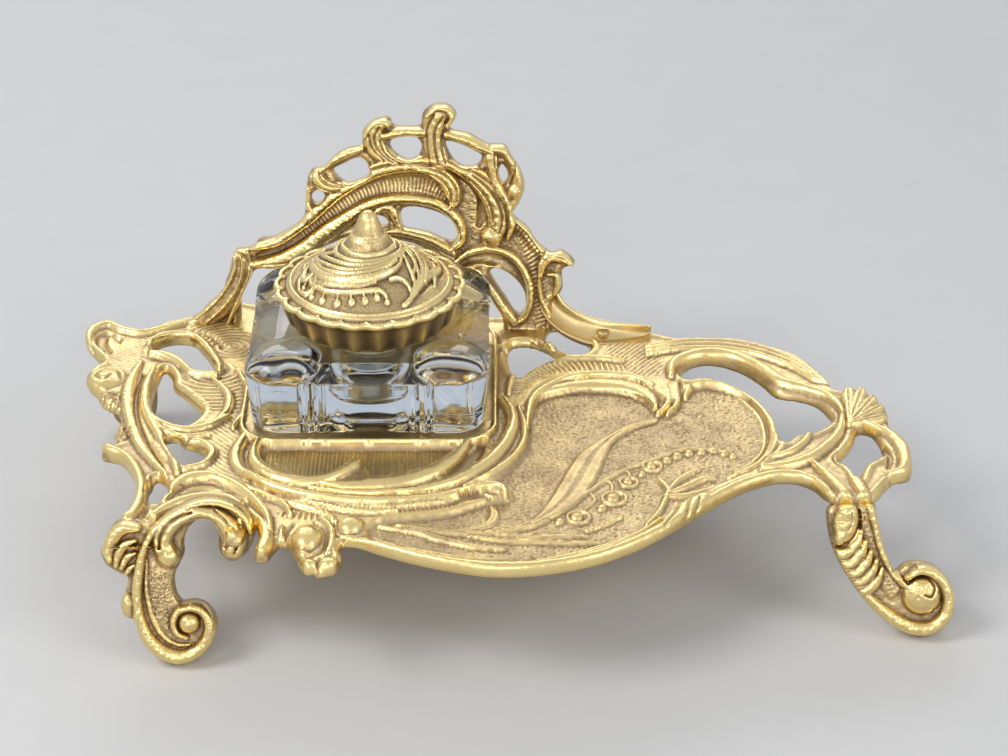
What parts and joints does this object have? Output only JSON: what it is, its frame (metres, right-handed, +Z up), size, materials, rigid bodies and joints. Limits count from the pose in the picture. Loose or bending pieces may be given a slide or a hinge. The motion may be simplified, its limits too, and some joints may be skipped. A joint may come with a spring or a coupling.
{
  "type": "desk inkstand",
  "caption": "Rococo desk inkstand: a pierced brass tray on scroll feet with a pen dish, a riveted openwork gallery and a square glass inkwell under a loose gadrooned lid.",
  "frame": {"origin": "on the surface that the inkstand stands on, under the middle of its bounding box", "axes": "+X to the right along the inkstand's length, +Y to the back where the gallery stands, +Z up; the front faces -Y"},
  "size_m": [0.2066, 0.129, 0.0853],
  "materials": {
    "gilt_brass": "cast, gilt, bright on the ridges and brown in the hollows",
    "lid_brass": "cast, darker, polished by use on the ridges",
    "fixing_brass": "turned, dull",
    "clear_glass": "pressed, polished, clear"
  },
  "bodies": {
    "stand": {"tray": "gilt_brass", "gallery": "gilt_brass", "left_front_foot": "gilt_brass", "right_front_foot": "gilt_brass", "left_rear_foot": "gilt_brass", "right_rear_foot": "gilt_brass", "left_front_foot_screw": "fixing_brass", "right_front_foot_screw": "fixing_brass", "left_rear_foot_screw": "fixing_brass", "right_rear_foot_screw": "fixing_brass", "left_rivet": "fixing_brass", "middle_rivet": "fixing_brass", "right_rivet": "fixing_brass"},
    "inkwell": {"inkwell": "clear_glass"},
    "lid": {"lid": "lid_brass"}
  },
  "joints": [
    {"name": "inkwell_lift", "type": "slide", "parent": "stand", "child": "inkwell", "axis": [0, 0, 1], "range_m": [0, 0.06]},
    {"name": "lid_lift", "type": "slide", "parent": "inkwell", "child": "lid", "axis": [0, 0, 1], "range_m": [0, 0.06]}
  ]
}
